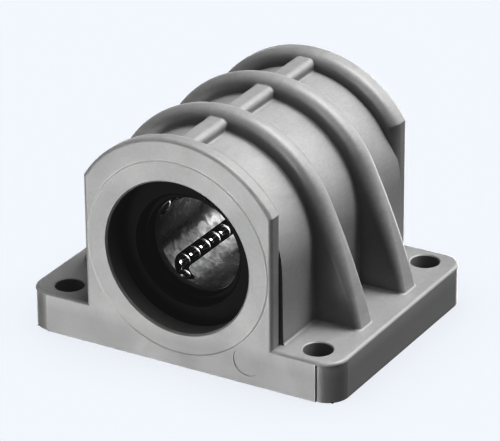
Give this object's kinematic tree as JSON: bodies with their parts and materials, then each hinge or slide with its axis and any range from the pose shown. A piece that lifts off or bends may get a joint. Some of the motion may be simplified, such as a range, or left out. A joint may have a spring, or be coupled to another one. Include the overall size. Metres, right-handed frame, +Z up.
{
  "type": "linear ball bushing",
  "caption": "Recirculating linear ball bushing for a 16 mm shaft, held by retaining rings in a ribbed, light grey moulded resin pillow block with base fixing holes.",
  "frame": {"origin": "centre of the base's underside, below the middle of the bore", "axes": "+Z up from the base, +Y along the bore from the front face to the rear face, X across the width"},
  "size_m": [0.062, 0.0482, 0.0429],
  "materials": {
    "housing_resin": "satin",
    "bearing_steel": "satin",
    "retainer_steel": "polished",
    "ball_steel": "polished",
    "black_ring": "satin"
  },
  "bodies": {
    "housing_unit": {"housing": "housing_resin", "outer_sleeve": "bearing_steel", "ball_retainer": "retainer_steel", "front_end_ring": "black_ring", "rear_end_ring": "black_ring", "front_retaining_ring": "black_ring", "rear_retaining_ring": "black_ring"},
    "circuit_1_loaded_row": {"circuit_1_loaded_row": "ball_steel"},
    "circuit_1_front_turn": {"circuit_1_front_turn": "ball_steel"},
    "circuit_1_return_row": {"circuit_1_return_row": "ball_steel"},
    "circuit_1_rear_turn": {"circuit_1_rear_turn": "ball_steel"},
    "circuit_2_loaded_row": {"circuit_2_loaded_row": "ball_steel"},
    "circuit_2_front_turn": {"circuit_2_front_turn": "ball_steel"},
    "circuit_2_return_row": {"circuit_2_return_row": "ball_steel"},
    "circuit_2_rear_turn": {"circuit_2_rear_turn": "ball_steel"},
    "circuit_3_loaded_row": {"circuit_3_loaded_row": "ball_steel"},
    "circuit_3_front_turn": {"circuit_3_front_turn": "ball_steel"},
    "circuit_3_return_row": {"circuit_3_return_row": "ball_steel"},
    "circuit_3_rear_turn": {"circuit_3_rear_turn": "ball_steel"},
    "circuit_4_loaded_row": {"circuit_4_loaded_row": "ball_steel"},
    "circuit_4_front_turn": {"circuit_4_front_turn": "ball_steel"},
    "circuit_4_return_row": {"circuit_4_return_row": "ball_steel"},
    "circuit_4_rear_turn": {"circuit_4_rear_turn": "ball_steel"}
  },
  "joints": [
    {"name": "circuit_1_roll", "type": "slide", "parent": "housing_unit", "child": "circuit_1_loaded_row", "axis": [0, 1, 0], "range_m": [0, 0.00343]},
    {"name": "circuit_1_return", "type": "slide", "parent": "housing_unit", "child": "circuit_1_return_row", "axis": [0, -1, 0], "range_m": [0, 0.00343]},
    {"name": "circuit_1_front_turn_swing", "type": "hinge", "parent": "housing_unit", "child": "circuit_1_front_turn", "pos_m": [-0.00446, -0.01201, 0.01156], "axis": [-0.6805, 0, -0.7327], "range_deg": [0, 76.09]},
    {"name": "circuit_1_rear_turn_swing", "type": "hinge", "parent": "housing_unit", "child": "circuit_1_rear_turn", "pos_m": [-0.00446, 0.01201, 0.01156], "axis": [-0.6805, 0, -0.7327], "range_deg": [0, 76.09]},
    {"name": "circuit_2_roll", "type": "slide", "parent": "housing_unit", "child": "circuit_2_loaded_row", "axis": [0, 1, 0], "range_m": [0, 0.00343]},
    {"name": "circuit_2_return", "type": "slide", "parent": "housing_unit", "child": "circuit_2_return_row", "axis": [0, -1, 0], "range_m": [0, 0.00343]},
    {"name": "circuit_2_front_turn_swing", "type": "hinge", "parent": "housing_unit", "child": "circuit_2_front_turn", "pos_m": [0.00894, -0.01201, 0.01604], "axis": [0.7327, 0, -0.6805], "range_deg": [0, 76.09]},
    {"name": "circuit_2_rear_turn_swing", "type": "hinge", "parent": "housing_unit", "child": "circuit_2_rear_turn", "pos_m": [0.00894, 0.01201, 0.01604], "axis": [0.7327, 0, -0.6805], "range_deg": [0, 76.09]},
    {"name": "circuit_3_roll", "type": "slide", "parent": "housing_unit", "child": "circuit_3_loaded_row", "axis": [0, 1, 0], "range_m": [0, 0.00343]},
    {"name": "circuit_3_return", "type": "slide", "parent": "housing_unit", "child": "circuit_3_return_row", "axis": [0, -1, 0], "range_m": [0, 0.00343]},
    {"name": "circuit_3_front_turn_swing", "type": "hinge", "parent": "housing_unit", "child": "circuit_3_front_turn", "pos_m": [0.00446, -0.01201, 0.02944], "axis": [0.6805, 0, 0.7327], "range_deg": [0, 76.09]},
    {"name": "circuit_3_rear_turn_swing", "type": "hinge", "parent": "housing_unit", "child": "circuit_3_rear_turn", "pos_m": [0.00446, 0.01201, 0.02944], "axis": [0.6805, 0, 0.7327], "range_deg": [0, 76.09]},
    {"name": "circuit_4_roll", "type": "slide", "parent": "housing_unit", "child": "circuit_4_loaded_row", "axis": [0, 1, 0], "range_m": [0, 0.00343]},
    {"name": "circuit_4_return", "type": "slide", "parent": "housing_unit", "child": "circuit_4_return_row", "axis": [0, -1, 0], "range_m": [0, 0.00343]},
    {"name": "circuit_4_front_turn_swing", "type": "hinge", "parent": "housing_unit", "child": "circuit_4_front_turn", "pos_m": [-0.00894, -0.01201, 0.02496], "axis": [-0.7327, 0, 0.6805], "range_deg": [0, 76.09]},
    {"name": "circuit_4_rear_turn_swing", "type": "hinge", "parent": "housing_unit", "child": "circuit_4_rear_turn", "pos_m": [-0.00894, 0.01201, 0.02496], "axis": [-0.7327, 0, 0.6805], "range_deg": [0, 76.09]}
  ],
  "couplings": [
    {"joint": "circuit_1_front_turn_swing", "follows": "circuit_1_roll", "rad_per_m": 387.17},
    {"joint": "circuit_1_rear_turn_swing", "follows": "circuit_1_roll", "rad_per_m": 387.17},
    {"joint": "circuit_1_return", "follows": "circuit_1_roll", "ratio": 1},
    {"joint": "circuit_2_front_turn_swing", "follows": "circuit_2_roll", "rad_per_m": 387.17},
    {"joint": "circuit_2_rear_turn_swing", "follows": "circuit_2_roll", "rad_per_m": 387.17},
    {"joint": "circuit_2_return", "follows": "circuit_2_roll", "ratio": 1},
    {"joint": "circuit_3_front_turn_swing", "follows": "circuit_3_roll", "rad_per_m": 387.17},
    {"joint": "circuit_3_rear_turn_swing", "follows": "circuit_3_roll", "rad_per_m": 387.17},
    {"joint": "circuit_3_return", "follows": "circuit_3_roll", "ratio": 1},
    {"joint": "circuit_4_front_turn_swing", "follows": "circuit_4_roll", "rad_per_m": 387.17},
    {"joint": "circuit_4_rear_turn_swing", "follows": "circuit_4_roll", "rad_per_m": 387.17},
    {"joint": "circuit_4_return", "follows": "circuit_4_roll", "ratio": 1}
  ]
}
